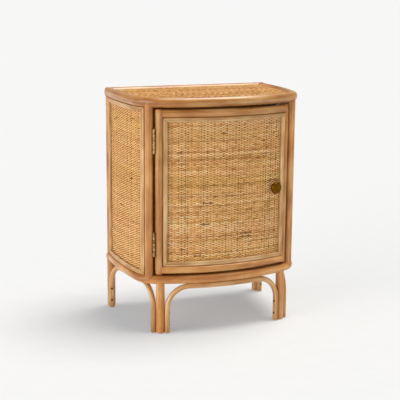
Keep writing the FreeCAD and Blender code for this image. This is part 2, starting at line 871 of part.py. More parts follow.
def knob_pieces():
    """Disc knob on a neck, with its screw and washer inside the door."""
    outward = bearing(knob_angle)
    front = plan_point(knob_angle, weave_face + glue_gap, knob_height)
    behind = plan_point(knob_angle, -weave_face - glue_gap, knob_height)
    neck = Part.makeCylinder(knob_neck_diameter/2, knob_neck_length, front, outward)
    disc_back = front + outward*knob_neck_length
    plate = Part.makeCylinder(knob_diameter/2, knob_disc_thickness, disc_back, outward)
    rims = [edge for edge in plate.Edges if isinstance(edge.Curve, Part.Circle)]
    plate = plate.makeFillet(knob_edge_radius, rims)
    washer_back = behind - outward*knob_washer_thickness
    washer = Part.makeCylinder(knob_washer_diameter/2, knob_washer_thickness, washer_back, outward)
    head_back = washer_back - outward*knob_screw_head_height
    grip = (front - head_back).Length + knob_screw_grip
    bolt = screw(outward, head_back, knob_screw_head_diameter, knob_screw_head_height,
                 knob_screw_shank_diameter, grip)
    bore = rod(head_back, head_back + outward*(grip + screw_clearance),
               knob_screw_shank_diameter/2 + screw_clearance)
    knob = cut_all(join([neck, plate]), [bore])
    return {"knob": knob, "knob_washer": cut_all(washer, [bore]), "knob_screw": bolt}, bore


def door():
    """Bowed door: stiles, bent rails, woven panel, mouldings and knob."""
    knob_nodes, knob_bore = knob_pieces()
    low = low_rail_height + rail_radius + glue_gap
    high = high_rail_height - rail_radius - glue_gap
    sheet = woven_sheet(hinge_stile_turn, closing_stile_turn, low, high)
    panel = cut_all(sheet, stile_tools + [knob_bore])
    first, last = inside_stiles(1)
    seat_turn = math.degrees(glue_gap/front_bow_radius)
    strips = moulding_frame(first + seat_turn, last - seat_turn, low, high)
    rail_bores = all_rail_dowels(glue_gap)
    left = stile(hinge_stile_place, hinge_stile_radius)
    right = stile(closing_stile_place, closing_stile_radius)
    nodes = {"door_left_stile": cut_all(left, hinge_tools(1) + rail_bores),
             "door_right_stile": cut_all(right, rail_bores),
             "door_top_rail": cut_all(rail(high_rail_height), strike_seat_tool()),
             "door_bottom_rail": rail(low_rail_height),
             "door_weave": panel,
             "door_left_moulding": strips["first"],
             "door_right_moulding": strips["last"],
             "door_top_moulding": strips["top"],
             "door_bottom_moulding": strips["bottom"],
             "door_rail_dowels": Part.makeCompound(all_rail_dowels()),
             "catch_strike": strike_solid(),
             "strike_screw": strike_screw()}
    nodes.update(knob_nodes)
    return nodes


def fittings():
    """Hinges, catch, dowels and screws."""
    nodes = {"post_dowels": Part.makeCompound(all_post_dowels()),
             "leg_dowels": Part.makeCompound(all_leg_dowels()),
             "ring_dowels": Part.makeCompound(all_ring_dowels()),
             "arch_screws": Part.makeCompound(all_arch_screws()),
             "frame_hinge_screws": Part.makeCompound(all_hinge_screws(-1)),
             "door_hinge_screws": Part.makeCompound(all_hinge_screws(1)),
             "catch_block": catch_block_solid(),
             "catch_magnet": magnet_solid(),
             "catch_screws": Part.makeCompound(catch_screws())}
    for name, height in hinge_heights.items():
        nodes[name + "_hinge_frame_leaf"] = at_hinge(hinge_leaf(-1), height)
        nodes[name + "_hinge_door_leaf"] = at_hinge(hinge_leaf(1), height)
        nodes[name + "_hinge_pin"] = at_hinge(hinge_pin(), height)
    return nodes


def main():
    os.makedirs("parts", exist_ok=True)
    nodes = {}
    for group in (rings_and_back_rails, posts, legs_and_arches, boards, sides, door, fittings):
        nodes.update(group())
    for name, shape in nodes.items():
        shape.exportStep("parts/" + name + ".step")
        print(name, len(shape.Solids), shape.isValid(), round(shape.Volume))


main()
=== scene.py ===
import json
import math

import bmesh
import bpy
import numpy as np
from mathutils import Matrix, Vector


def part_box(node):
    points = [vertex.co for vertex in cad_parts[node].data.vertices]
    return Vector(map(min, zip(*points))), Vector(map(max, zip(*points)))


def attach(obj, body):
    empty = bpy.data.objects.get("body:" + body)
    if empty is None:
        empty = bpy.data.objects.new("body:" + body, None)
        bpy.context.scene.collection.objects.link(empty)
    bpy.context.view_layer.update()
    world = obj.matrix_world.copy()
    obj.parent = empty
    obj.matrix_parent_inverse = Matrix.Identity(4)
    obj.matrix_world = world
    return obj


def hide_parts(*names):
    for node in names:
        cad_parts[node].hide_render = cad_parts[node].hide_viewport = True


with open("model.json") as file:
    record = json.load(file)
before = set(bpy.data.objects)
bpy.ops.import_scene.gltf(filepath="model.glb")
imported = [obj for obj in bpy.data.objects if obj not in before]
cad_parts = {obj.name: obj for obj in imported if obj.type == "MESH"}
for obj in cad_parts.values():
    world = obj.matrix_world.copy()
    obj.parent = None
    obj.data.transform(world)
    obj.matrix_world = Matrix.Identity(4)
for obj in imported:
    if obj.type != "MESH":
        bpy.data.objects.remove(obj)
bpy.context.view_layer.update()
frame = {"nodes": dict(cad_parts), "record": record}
nodes = frame["nodes"]
slot_of = {part["node"]: part["material_slot"] for part in frame["record"]["subparts"]}
body_of = {}
for body, members in frame["record"]["behaviour"]["bodies"].items():
    body_of.update({member: body for member in members})

mm = 0.001
draw = np.random.default_rng(21)

# Plan of the cabinet, as in the solids: three arcs that meet smoothly, in metres
front_bow_radius = 485*mm
corner_radius = 56*mm
side_bow_radius = 880*mm
front_half_angle = math.radians(21.2)
corner_end_angle = math.radians(81.2)
frame_depth = 290*mm

# Turns away from the front at which poles stand, in degrees
post_turn = 40.3
hinge_stile_turn = 20.470
closing_stile_turn = 20.854

# Heights and sizes of the poles
top_ring_height = 587.5*mm
bottom_ring_height = 140*mm
arch_height = 122.15*mm
arch_bend_radius = 58*mm
rail_heights = {"door_bottom_rail": 165.8*mm, "door_top_rail": 560.2*mm}

# Measures that tell poles apart: level strips are lower than this, level poles span more, feet end below
strip_height_limit = 30*mm
level_pole_span = 100*mm
foot_height = 20*mm

# Copies of the solids' meshes: points nearer than this are merged, and sharper turns stay crisp
merge_distance = 0.002*mm
sliver_length = 0.001*mm
crease_angle = math.radians(28)

# Weave
weft_pitch = 3.0*mm
weft_width = 2.85*mm
weft_thickness = 0.9*mm
warp_pitch = 8.2*mm
warp_width = 2.1*mm
warp_thickness = 1.9*mm
weft_lift = 1.25*mm
strand_sides = 6
strand_margin = 0.4*mm
ring_inset = 12*mm
steps_per_warp = 3
warp_steps = 16
warp_wander = 0.6*mm
weft_sway = 0.5*mm
sway_stretches = 8

# Distances from the poles' axes at which the woven panels end
hinge_stile_edge = 10.1*mm
closing_stile_edge = 6.85*mm
post_edge = 10.4*mm

# Rattan nodes stand this far apart on a pole
ring_interval = 310*mm

# Pale spots of the rings beside the front posts: how far before the post, how long and how much brighter
pale_spot_offset = 14*mm
pale_spot_length = 11*mm
pale_spot_gain = 0.13


# Plan


def arc_centres():
    """Centres of the front, corner and side arcs of the right half."""
    front = np.array([0.0, front_bow_radius - frame_depth/2])
    bearing = np.array([math.sin(front_half_angle), -math.cos(front_half_angle)])
    corner = front + bearing*(front_bow_radius - corner_radius)
    bearing = np.array([math.sin(corner_end_angle), -math.cos(corner_end_angle)])
    return np.array([front, corner, corner + bearing*(corner_radius - side_bow_radius)])


plan_centres = arc_centres()
plan_radii = np.array([front_bow_radius, corner_radius, side_bow_radius])
back_angle = math.acos((plan_centres[2][1] - frame_depth/2)/side_bow_radius)
plan_angles = np.array([0.0, front_half_angle, corner_end_angle, back_angle])
plan_stops = np.concatenate([[0.0], np.cumsum(np.diff(plan_angles)*plan_radii)])
back_stop = plan_stops[-1]


def on_plan(distance, outward, height):
    """Points at a distance along the plan from the middle of the front, moved outward, at a height."""
    distance, outward, height = np.broadcast_arrays(distance, outward, height)
    reach = np.abs(distance)
    arc = np.clip(np.searchsorted(plan_stops, reach, side="right") - 1, 0, 2)
    angle = plan_angles[arc] + (reach - plan_stops[arc])/plan_radii[arc]
    radius = plan_radii[arc] + outward
    across = plan_centres[arc][..., 0] + np.sin(angle)*radius
    depth = plan_centres[arc][..., 1] - np.cos(angle)*radius
    return np.stack([np.where(distance < 0, -across, across), depth, height], axis=-1)


def stop_at_angle(degrees):
    """Distance along the plan to a turn away from the front."""
    return float(np.interp(math.radians(degrees), plan_angles, plan_stops))


# Materials


def linear(colour):
    """sRGB hex as a linear colour."""
    shares = [int(colour[place:place + 2], 16)/255 for place in (1, 3, 5)]
    return tuple(v/12.92 if v <= 0.04045 else ((v + 0.055)/1.055)**2.4 for v in shares) + (1.0,)


def add(material, kind, inputs=None, stops=None, **settings):
    """Adds a node with its settings, colour stops and inputs, and returns its outputs."""
    made = material.node_tree.nodes.new(kind)
    for name, value in settings.items():
        setattr(made, name, value)
    if stops:
        ramp = made.color_ramp.elements
        while len(ramp) < len(stops):
            ramp.new(0.5)
        for element, (place, colour) in zip(ramp, stops):
            element.position = place
            element.color = linear(colour)
    for name, value in (inputs or {}).items():
        if isinstance(value, bpy.types.NodeSocket):
            material.node_tree.links.new(value, made.inputs[name])
        else:
            made.inputs[name].default_value = value
    return made.outputs


def start(name, **constants):
    """A new material, and a function that sets or links the inputs of its surface."""
    material = bpy.data.materials.new(name)
    material.use_nodes = True
    surface = material.node_tree.nodes["Principled BSDF"]

    def set_surface(inputs):
        for socket, value in inputs.items():
            if isinstance(value, bpy.types.NodeSocket):
                material.node_tree.links.new(value, surface.inputs[socket])
            else:
                surface.inputs[socket].default_value = value

    set_surface({socket.replace("_", " "): value for socket, value in constants.items()})
    return material, set_surface


def rattan(name, tones, warm, ring_colour, shine, ring_depth):
    """Peeled and sanded rattan under satin lacquer: fine fibres along the pole, slow patches of tone,
    a warmer blush here and there, and a dark ring scar at each node of the cane. Light soaks a few millimetres
    into the cane, which warms its shaded edges."""
    material, surface = start(name, IOR=1.5, Coat_Weight=0.35, Coat_Roughness=0.25, Subsurface_Weight=0.3,
                              Subsurface_Radius=(1.0, 0.35, 0.12), Subsurface_Scale=4*mm)
    straight = add(material, "ShaderNodeAttribute", attribute_name="straight")["Vector"]
    finish = add(material, "ShaderNodeAttribute", attribute_name="finish")["Vector"]
    tone_warmth = add(material, "ShaderNodeSeparateXYZ", {"Vector": finish})
    place = add(material, "ShaderNodeSeparateXYZ", {"Vector": straight})

    fibre_place = add(material, "ShaderNodeMapping", {"Vector": straight, "Scale": (1/(1.1*mm), 1/(1.1*mm), 1/(38*mm))})
    fibre = add(material, "ShaderNodeTexNoise", {"Vector": fibre_place["Vector"], "Scale": 1.0, "Detail": 3.0,
                                                 "Roughness": 0.6})
    streak_place = add(material, "ShaderNodeMapping", {"Vector": straight, "Scale": (1/(6*mm), 1/(6*mm), 1/(170*mm))})
    streak = add(material, "ShaderNodeTexNoise", {"Vector": streak_place["Vector"], "Scale": 1.0, "Detail": 2.0})
    patch_place = add(material, "ShaderNodeMapping", {"Vector": straight, "Scale": (1/(34*mm), 1/(34*mm), 1/(75*mm))})
    patch = add(material, "ShaderNodeTexNoise", {"Vector": patch_place["Vector"], "Scale": 1.0, "Detail": 2.0})

    grain = add(material, "ShaderNodeMix", {"Factor": 0.36, 2: streak["Fac"], 3: fibre["Fac"]}, data_type="FLOAT")
    mixed = add(material, "ShaderNodeMix", {"Factor": 0.42, 2: grain[0], 3: patch["Fac"]}, data_type="FLOAT")
    base = add(material, "ShaderNodeValToRGB", {"Fac": mixed[0]}, list(zip((0.41, 0.5, 0.59), tones)))
    blush_place = add(material, "ShaderNodeMapping", {"Vector": straight, "Location": (3.0, 5.0, 7.0),
                                                      "Scale": (1/(40*mm), 1/(40*mm), 1/(130*mm))})
    blush = add(material, "ShaderNodeTexNoise", {"Vector": blush_place["Vector"], "Scale": 1.0, "Detail": 1.0})
    blush_share = add(material, "ShaderNodeMapRange", {"Value": blush["Fac"], "From Min": 0.42, "From Max": 0.72,
                                                       "To Min": 0.0, "To Max": 0.45})
    from_middle = add(material, "ShaderNodeMath", {0: tone_warmth["Z"]}, operation="ABSOLUTE")
    end_stain = add(material, "ShaderNodeMapRange", {"Value": from_middle["Value"], "From Min": 0.93, "From Max": 1.0,
                                                     "To Min": 0.0, "To Max": 0.55})
    soaked = add(material, "ShaderNodeMath", {0: end_stain["Result"], 1: tone_warmth["Y"]}, operation="ADD")
    warmth = add(material, "ShaderNodeMath", {0: blush_share["Result"], 1: soaked["Value"]}, operation="ADD",
                 use_clamp=True)
    warmed = add(material, "ShaderNodeMix", {"Factor": warmth["Value"], 6: base["Color"], 7: linear(warm)},
                 data_type="RGBA")

    wander_place = add(material, "ShaderNodeMapping", {"Vector": straight, "Scale": (1/(8*mm), 1/(8*mm), 0.0)})
    wander = add(material, "ShaderNodeTexNoise", {"Vector": wander_place["Vector"], "Scale": 1.0, "Detail": 1.0})
    along = add(material, "ShaderNodeMath", {0: wander["Fac"], 1: 5*mm, 2: place["Z"]}, operation="MULTIPLY_ADD")
    cycle = add(material, "ShaderNodeMath", {0: along["Value"], 1: ring_interval}, operation="PINGPONG")
    ring = add(material, "ShaderNodeMapRange", {"Value": cycle["Value"], "From Min": 0.7*mm, "From Max": 3.2*mm,
                                                "To Min": ring_depth, "To Max": 0.0}, interpolation_type="SMOOTHSTEP")
    ringed = add(material, "ShaderNodeMix", {"Factor": ring["Result"], 6: warmed[2], 7: linear(ring_colour)},
                 data_type="RGBA")
    toned = add(material, "ShaderNodeHueSaturation", {"Color": ringed[2], "Value": tone_warmth["X"]})

    gloss = add(material, "ShaderNodeMapRange", {"Value": mixed[0], "From Min": 0.3, "From Max": 0.7,
                                                 "To Min": shine + 0.08, "To Max": shine - 0.05})
    relief = add(material, "ShaderNodeBump", {"Height": fibre["Fac"], "Strength": 0.25, "Distance": 0.15*mm})
    surface({"Base Color": toned["Color"], "Roughness": gloss["Result"], "Normal": relief["Normal"]})
    return material


def woven_rattan():
    """Flat strands of split rattan, woven dry: matt, straw to brown from strand to strand, with dark skin scars and
    dark warps; the warps' darkness is partly painted shade in the hollows where they show.
    """
    material, surface = start("woven split rattan", IOR=1.48, Specular_IOR_Level=0.15, Sheen_Weight=0.15)
    strand = add(material, "ShaderNodeSeparateXYZ",
                 {"Vector": add(material, "ShaderNodeAttribute", attribute_name="strand")["Vector"]})
    along = add(material, "ShaderNodeAttribute", attribute_name="along")["Vector"]
    fibre_place = add(material, "ShaderNodeMapping", {"Vector": along, "Scale": (1/(24*mm), 1/(0.55*mm), 1/(0.55*mm))})
    fibre = add(material, "ShaderNodeTexNoise", {"Vector": fibre_place["Vector"], "Scale": 1.0, "Detail": 2.0})
    patch_place = add(material, "ShaderNodeMapping", {"Vector": along, "Scale": (1/(22*mm), 1/(9*mm), 1/(9*mm))})
    patch = add(material, "ShaderNodeTexNoise", {"Vector": patch_place["Vector"], "Scale": 1.0, "Detail": 2.0})
    spread = add(material, "ShaderNodeMath", {0: patch["Fac"], 1: 0.34, 2: -0.17}, operation="MULTIPLY_ADD")
    tone = add(material, "ShaderNodeMath", {0: strand["X"], 1: spread["Value"]}, operation="ADD")
    fine = add(material, "ShaderNodeMath", {0: fibre["Fac"], 1: 0.22, 2: -0.11}, operation="MULTIPLY_ADD")
    # Flecks of skin are well under a millimetre long; they are drawn at 2.8 mm so that they show
    fleck = add(material, "ShaderNodeTexNoise", {"Vector": along, "Scale": 1/(2.8*mm), "Detail": 1.0})
    flecked = add(material, "ShaderNodeMath", {0: fleck["Fac"], 1: 0.6, 2: -0.3}, operation="MULTIPLY_ADD")
    grain = add(material, "ShaderNodeMath", {0: fine["Value"], 1: flecked["Value"]}, operation="ADD")
    shade = add(material, "ShaderNodeMath", {0: tone["Value"], 1: grain["Value"]}, operation="ADD", use_clamp=True)
    pinkish = add(material, "ShaderNodeValToRGB", {"Fac": shade["Value"]},
                  [(0.0, "#7C4414"), (0.32, "#CC8A46"), (0.62, "#F3B977"), (1.0, "#FFE4B6")])
    yellowish = add(material, "ShaderNodeValToRGB", {"Fac": shade["Value"]},
                    [(0.0, "#784C12"), (0.32, "#C69242"), (0.62, "#EEBC69"), (1.0, "#FFE5A6")])
    hue = add(material, "ShaderNodeMix", {"Factor": strand["Y"], 6: pinkish["Color"], 7: yellowish["Color"]},
              data_type="RGBA")
    # Mixes in dark brown: skin scars on the wefts, and on the warps a dark share that is partly painted shade
    scarred_and_shaded = add(material, "ShaderNodeMix", {"Factor": strand["Z"], 6: hue[2], 7: linear("#471C00")},
                  data_type="RGBA")
    gloss = add(material, "ShaderNodeMapRange", {"Value": fibre["Fac"], "To Min": 0.5, "To Max": 0.68})
    relief = add(material, "ShaderNodeBump", {"Height": fibre["Fac"], "Strength": 0.3, "Distance": 0.12*mm})
    surface({"Base Color": scarred_and_shaded[2], "Roughness": gloss["Result"], "Normal": relief["Normal"]})
    return material


def plywood():
    """Rotary-cut plywood, matt: long wavy grain in honey tones, redder along the dark lines."""
    material, surface = start("matt plywood", IOR=1.48)
    place = add(material, "ShaderNodeTexCoord")["Object"]
    grain_place = add(material, "ShaderNodeMapping", {"Vector": place, "Scale": (1/(260*mm), 1/(14*mm), 1/(14*mm))})
    grain = add(material, "ShaderNodeTexNoise", {"Vector": grain_place["Vector"], "Scale": 1.0, "Detail": 4.0,
                                                 "Distortion": 0.6})
    line_place = add(material, "ShaderNodeMapping", {"Vector": place, "Scale": (1/(60*mm), 1/(1.6*mm), 1/(1.6*mm))})
    lines = add(material, "ShaderNodeTexNoise", {"Vector": line_place["Vector"], "Scale": 1.0, "Detail": 2.0})
    mixed = add(material, "ShaderNodeMix", {"Factor": 0.35, 2: grain["Fac"], 3: lines["Fac"]}, data_type="FLOAT")
    colour = add(material, "ShaderNodeValToRGB", {"Fac": mixed[0]},
                 [(0.35, "#A06F42"), (0.5, "#B58C5C"), (0.65, "#C6A374")])
    gloss = add(material, "ShaderNodeMapRange", {"Value": mixed[0], "To Min": 0.62, "To Max": 0.48})
    relief = add(material, "ShaderNodeBump", {"Height": lines["Fac"], "Strength": 0.2, "Distance": 0.1*mm})
    surface({"Base Color": colour["Color"], "Roughness": gloss["Result"], "Normal": relief["Normal"]})
    return material


def patchy(name, dark, light, patch_size, roughness, metallic, relief_depth=0.0):
    """A finish with soft patches of tone and gloss: tarnished metal, turned beech or moulded plastic."""
    material, surface = start(name, Metallic=metallic)
    place = add(material, "ShaderNodeTexCoord")["Object"]
    patch = add(material, "ShaderNodeTexNoise", {"Vector": place, "Scale": 1/patch_size, "Detail": 3.0})
    colour = add(material, "ShaderNodeValToRGB", {"Fac": patch["Fac"]}, [(0.35, dark), (0.65, light)])
    grit = add(material, "ShaderNodeTexNoise", {"Vector": place, "Scale": 1/(0.8*mm), "Detail": 2.0})
    gloss = add(material, "ShaderNodeMapRange", {"Value": grit["Fac"], "From Min": 0.3, "From Max": 0.7,
                                                 "To Min": roughness - 0.06, "To Max": roughness + 0.08})
    relief = add(material, "ShaderNodeBump", {"Height": grit["Fac"], "Strength": 0.15, "Distance": relief_depth})
    surface({"Base Color": colour["Color"], "Roughness": gloss["Result"], "Normal": relief["Normal"]})
    return material


finishes = {
    # Sanded manau poles: orange tan with a satin shine
    "rattan_pole": rattan("sanded rattan pole", ("#A06326", "#C28843", "#DAA869"), "#BE7632", "#74421A", 0.32, 0.22),
    # Thin cane with part of its skin left on: paler than the poles, with marked node rings
    "rattan_arch": rattan("thin rattan cane", ("#AC7640", "#CD9C60", "#E4BA88"), "#C08848", "#6E4A1E", 0.36, 0.4),
    # Planed rattan core: pale and a little olive
    "rattan_moulding": rattan("planed rattan core", ("#AC7C42", "#CB9F65", "#E6C492"), "#BE8E54", "#8A6436", 0.38, 0.0),
    # Split rattan, woven
    "woven_rattan": woven_rattan(),
    "plywood": plywood(),
    # Turned beech dowels
    "dowel_wood": patchy("turned beech", "#B98B5C", "#CFA678", 12*mm, 0.55, 0.0, 0.1*mm),
    # Rolled pale brass with dark tarnish between the bright worn places
    "hinge_brass": patchy("rolled pale brass", "#5C4220", "#D2B27C", 5*mm, 0.36, 1.0),
    # Cast bronze with a dark olive-brown patina
    "knob_bronze": patchy("patinated bronze", "#644104", "#7C5106", 9*mm, 0.42, 1.0),
    # Blackened steel screws
    "screw_steel": patchy("blackened steel", "#3C2C1A", "#5A4428", 3*mm, 0.45, 1.0),
    # Moulded brown plastic of the catch
    "catch_plastic": patchy("moulded brown plastic", "#5A3A22", "#654329", 10*mm, 0.5, 0.0, 0.05*mm),
    # Bare ferrite magnet
    "magnet_iron": patchy("bare ferrite", "#2B2A2A", "#3A3938", 4*mm, 0.6, 0.0),
}


# Pieces that keep the solids' shape


def finished(piece, node):
    """Gives a piece the finish, body and slot of the node that it stands for."""
    piece.data.materials.clear()
    piece.data.materials.append(finishes[slot_of[node]])
    bpy.context.scene.collection.objects.link(piece)
    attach(piece, body_of[node])
    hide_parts(node)


def smooth_copy(node):
    """A merged copy of a node's mesh with smooth round faces and crisp edges."""
    shape = bmesh.new()
    shape.from_mesh(nodes[node].data)
    bmesh.ops.remove_doubles(shape, verts=shape.verts, dist=merge_distance)
    bmesh.ops.dissolve_degenerate(shape, edges=shape.edges, dist=sliver_length)
    mesh = bpy.data.meshes.new(node + "_skin")
    shape.to_mesh(mesh)
    shape.free()
    mesh.shade_smooth()
    mesh.set_sharp_from_angle(angle=crease_angle)
    return bpy.data.objects.new(node + "_skin", mesh)


def vertices(mesh):
    found = np.empty(len(mesh.vertices)*3)
    mesh.vertices.foreach_get("co", found)
    return found.reshape(-1, 3)


def set_attribute(mesh, name, values):
    attribute = mesh.attributes.new(name, "FLOAT_VECTOR", "POINT")
    attribute.data.foreach_set("vector", np.ascontiguousarray(values, dtype=np.float32).ravel())


def straightened(points, path, aside):
    """Each point's offset from a pole's axis and its distance along it."""
    steps = np.diff(path, axis=0)
    lengths = np.linalg.norm(steps, axis=1)
    ways = steps/lengths[:, None]
    starts = np.concatenate([[0.0], np.cumsum(lengths)[:-1]])
    rise = (points[:, None, :] - path[None, :-1, :])
    travel = np.clip(np.einsum("psk,sk->ps", rise, ways), 0.0, lengths)
    gaps = np.linalg.norm(rise - travel[..., None]*ways, axis=2)
    best = np.argmin(gaps, axis=1)
    each = np.arange(len(points))
    way = ways[best]
    offset = points - path[best] - travel[each, best][:, None]*way
    across = np.cross(way, aside)
    return np.stack([offset @ aside, np.sum(offset*across, axis=1), starts[best] + travel[each, best]], axis=1)


def ring_path(height, reach):
    return on_plan(np.linspace(-reach, reach, 181), 0.0, height)


def straight_path(node):
    """Axis of a straight pole or moulding, along its longest side."""
    low, high = (np.array(corner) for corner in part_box(node))
    longest = int(np.argmax(high - low))
    ends = np.stack([(low + high)/2, (low + high)/2])
    ends[0, longest] = low[longest]
    ends[1, longest] = high[longest]
    return ends


def arch_feet(node, axis):
    """Places of an arch's two uprights, from its ends near the floor."""
    points = vertices(nodes[node].data)
    points = points[points[:, 2] < foot_height]
    middle = (points[:, axis].min() + points[:, axis].max())/2
    halves = (points[points[:, axis] < middle], points[points[:, axis] >= middle])
    return [(half.min(axis=0) + half.max(axis=0))[:2]/2 for half in halves]


def bend_path(foot, way, height):
    """Upright and quarter bend of an arch that turns towards a level way."""
    spring = height - arch_bend_radius
    turns = np.linspace(0.0, math.pi/2, 13)[:, None]
    level = foot + way*arch_bend_radius*(1 - np.cos(turns))
    bend = np.concatenate([level, spring + arch_bend_radius*np.sin(turns)], axis=1)
    return np.concatenate([[[foot[0], foot[1], 0.0]], bend])


def arch_path(node):
    """Axis of an arch and the level direction square to it."""
    if node == "front_arch":
        left, right = arch_feet(node, 0)
        lean = math.atan2(right[0], plan_centres[0][1] - right[1]) - math.atan2(arch_bend_radius, front_bow_radius)
        run = on_plan(np.linspace(-lean, lean, 61)*front_bow_radius, 0.0, arch_height)
        towards = (run[0] - run[1])[:2]
        way = -towards/np.linalg.norm(towards)
        first = bend_path(left, way, arch_height)
        last = bend_path(right, way*np.array([-1, 1]), arch_height)[::-1]
        return np.concatenate([first[:-1], run, last[1:]]), np.array([0.0, 1.0, 0.0])
    front, back = arch_feet(node, 1)
    way = (back - front)/np.linalg.norm(back - front)
    path = np.concatenate([bend_path(front, way, arch_height), bend_path(back, -way, arch_height)[::-1]])
    return path, np.array([way[1], -way[0], 0.0])


def pole_axis(node):
    """Axis of a rattan pole or moulding, and a direction square to it."""
    up = np.array([0.0, 0.0, 1.0])
    low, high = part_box(node)
    middle = (low[2] + high[2])/2
    if node == "top_ring":
        return ring_path(top_ring_height, back_stop), up
    if node == "bottom_ring":
        return ring_path(bottom_ring_height, back_stop), up
    if node in rail_heights:
        return ring_path(rail_heights[node], stop_at_angle(closing_stile_turn)), up
    if node.endswith("arch"):
        return arch_path(node)
    if node.startswith("door_") and high[2] - low[2] < strip_height_limit:
        return ring_path(middle, stop_at_angle(closing_stile_turn)), up
    if "_side_" in node and high[2] - low[2] < strip_height_limit:
        side = -1 if node.startswith("left") else 1
        return on_plan(side*np.linspace(stop_at_angle(post_turn), back_stop, 91), 0.0, middle), up
    path = straight_path(node)
    return path, up if abs(path[1, 0] - path[0, 0]) > level_pole_span else np.array([1.0, 0.0, 0.0])


# Brightness, warmth and place of a node ring (a share of the interval) for poles set one by one: the top ring, the top
# back rail, the door's top rail and its left stile are drawn darker, the bottom ring and the front legs lighter
pole_notes = {
    "top_back_rail": (0.94, 0.0, 0.3),
    "top_ring": (0.86, 0.0, 0.62),
    "bottom_ring": (1.05, 0.1, 0.62),
    "door_top_rail": (0.88, 0.0, 0.57),
    "door_left_stile": (0.91, 0.2, 0.4),
    "left_front_leg": (1.09, 0.35, 0.9),
    "right_front_leg": (1.06, 0.4, 0.9),
}


def dress_pole(node, order):
    """A rattan pole or moulding whose grain follows its bends.

    Its cut ends soak up more stain, and the rings are drawn paler in a short stretch before each front post."""
    piece = smooth_copy(node)
    path, aside = pole_axis(node)
    straight = straightened(vertices(piece.data), path, aside)
    brightness, warmth, ring_place = pole_notes.get(node, (draw.uniform(0.96, 1.04), draw.uniform(0.0, 0.3),
                                                           draw.uniform(0.2, 0.9)))
    along = straight[:, 2].copy()
    middle, half = (along.max() + along.min())/2, (along.max() - along.min())/2
    finish = np.stack([np.full(len(along), brightness), np.full(len(along), warmth), (along - middle)/half], axis=1)
    if node in ("top_ring", "bottom_ring"):
        # The rings are drawn paler in a short stretch just before each front post
        from_post = np.abs(along - back_stop) - stop_at_angle(post_turn) + pale_spot_offset
        finish[:, 0] += pale_spot_gain*np.exp(-(from_post/pale_spot_length)**2)
    straight[:, 2] += (2*order + 1 - ring_place)*ring_interval
    set_attribute(piece.data, "straight", straight)
    set_attribute(piece.data, "finish", finish)
    finished(piece, node)


# Woven panels


def add_strands(shape, length, segments, width, thickness, count, pitch):
    """Adds straight strands along x, side by side in y, and returns how many vertices they have."""
    first_vertex, first_edge, first_face = len(shape.verts), len(shape.edges), len(shape.faces)
    bmesh.ops.create_cone(shape, cap_ends=True, segments=strand_sides, radius1=0.5, radius2=0.5, depth=1.0,
                          matrix=Matrix.Rotation(math.pi/2, 4, "Y"))
    shape.verts.ensure_lookup_table()
    shape.edges.ensure_lookup_table()
    bmesh.ops.scale(shape, vec=(length, width, thickness), verts=shape.verts[first_vertex:])
    long_edges = [edge for edge in shape.edges[first_edge:] if edge.calc_length() > 0.9*length]
    bmesh.ops.subdivide_edges(shape, edges=long_edges, cuts=segments - 1, use_grid_fill=True)
    shape.verts.ensure_lookup_table()
    shape.edges.ensure_lookup_table()
    shape.faces.ensure_lookup_table()
    strand = shape.verts[first_vertex:] + shape.edges[first_edge:] + shape.faces[first_face:]
    bmesh.ops.spin(shape, geom=strand, axis=(0, 0, 1), cent=(0, 0, 0), dvec=(0, pitch, 0), angle=0.0,
                   steps=count - 1, use_duplicate=True)
    return len(shape.verts) - first_vertex


def slow_noise(count, length):
    """Smooth random numbers, about -1 to 1, that change over a length."""
    knots = draw.normal(0.0, 0.5, count//length + 3)
    return np.interp(np.arange(count)/length, np.arange(len(knots)), knots)


def warps_between(first, last, span):
    """Places of the warps, spread evenly between two poles as the ribs of the solids are, inside a span."""
    count = int((last - first)/warp_pitch)
    places = (first + last)/2 + (np.arange(count) - (count - 1)/2)*warp_pitch
    return places[(places > span[0] + warp_width/2) & (places < span[1] - warp_width/2)]


